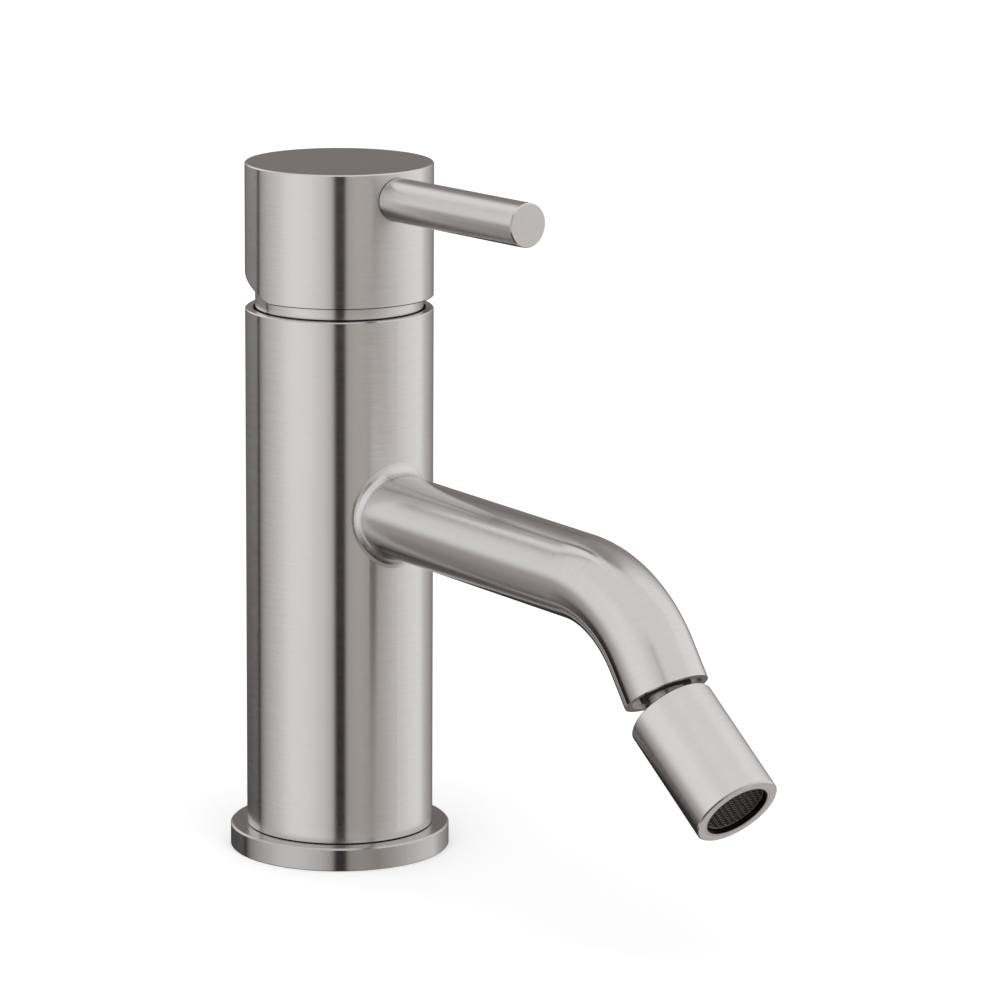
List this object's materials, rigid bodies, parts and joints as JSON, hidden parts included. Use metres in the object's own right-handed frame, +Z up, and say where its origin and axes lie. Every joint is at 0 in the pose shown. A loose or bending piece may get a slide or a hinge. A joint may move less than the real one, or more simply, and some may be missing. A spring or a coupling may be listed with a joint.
{
  "type": "bidet mixer",
  "caption": "Round-column single-lever bidet mixer: pin lever on a tilting cap, bent round spout with a ball-jointed nozzle, turned base flange.",
  "frame": {"origin": "centre of the base flange's underside, on the column's axis, in the plane of the deck", "axes": "+Z up along the column, -Y forward along the spout and the lever, X across"},
  "size_m": [0.053, 0.1773, 0.1672],
  "materials": {
    "brushed_body": "fine turned brushing, satin",
    "brushed_lever": "fine satin",
    "satin_nozzle": "fine satin, lighter than the body",
    "satin_ball": "polished ball and neck",
    "dressed_weld": "dressed and polished weld",
    "steel_screws": "plain steel",
    "brass_cast": "machined",
    "rubber_black": "matt",
    "cartridge_white": "moulded",
    "carrier_grey": "moulded",
    "disc_ceramic": "lapped",
    "aerator_grey": "moulded",
    "screen_dark": "perforated"
  },
  "bodies": {
    "root": {"base_flange": "brushed_body", "base_seal": "rubber_black", "flange_screws": "steel_screws", "base_plug": "brass_cast", "column_shell": "brushed_body", "manifold_core": "brass_cast", "manifold_seals": "rubber_black", "neck_ring": "brushed_body", "neck_seal": "rubber_black", "clamp_nut": "brass_cast", "cartridge_base": "cartridge_white", "port_seals": "rubber_black", "fixed_disc": "disc_ceramic", "cartridge_housing": "cartridge_white", "spout_tube": "brushed_body", "spout_weld": "dressed_weld", "spout_bush": "brass_cast", "stem_washer": "rubber_black", "swivel_ball": "satin_ball"},
    "carrier": {"stem_carrier": "carrier_grey", "pivot_pin": "steel_screws"},
    "disc": {"moving_disc": "disc_ceramic", "disc_driver": "carrier_grey"},
    "handle": {"handle_cap": "brushed_body", "lever_pin": "brushed_lever", "set_screw": "steel_screws", "lever_stem": "brass_cast"},
    "slip_ring": {"ball_liner": "cartridge_white"},
    "nozzle": {"nozzle_sleeve": "satin_nozzle", "ball_retainer": "satin_nozzle", "ball_seat": "cartridge_white", "seat_seal": "rubber_black", "aerator_washer": "rubber_black", "aerator_body": "satin_nozzle", "aerator_core": "aerator_grey", "outlet_screen": "screen_dark"}
  },
  "joints": [
    {"name": "lever_turn", "type": "hinge", "parent": "root", "child": "carrier", "pos_m": [0, 0, 0.134], "axis": [0, 0, 1], "range_deg": [-50, 50]},
    {"name": "lever_lift", "type": "hinge", "parent": "carrier", "child": "handle", "pos_m": [0, 0, 0.134], "axis": [-1, 0, 0], "range_deg": [0, 18]},
    {"name": "disc_slide", "type": "slide", "parent": "carrier", "child": "disc", "axis": [0, -1, 0], "range_m": [0, 0.00371]},
    {"name": "nozzle_swivel", "type": "hinge", "parent": "root", "child": "slip_ring", "pos_m": [0, -0.12433, 0.05528], "axis": [0, -0.5664, -0.8241], "continuous": true},
    {"name": "nozzle_tilt", "type": "hinge", "parent": "slip_ring", "child": "nozzle", "pos_m": [0, -0.12433, 0.05528], "axis": [-1, 0, 0], "range_deg": [-38, 4]}
  ],
  "couplings": [
    {"joint": "disc_slide", "follows": "lever_lift", "m_per_rad": 0.011804}
  ]
}
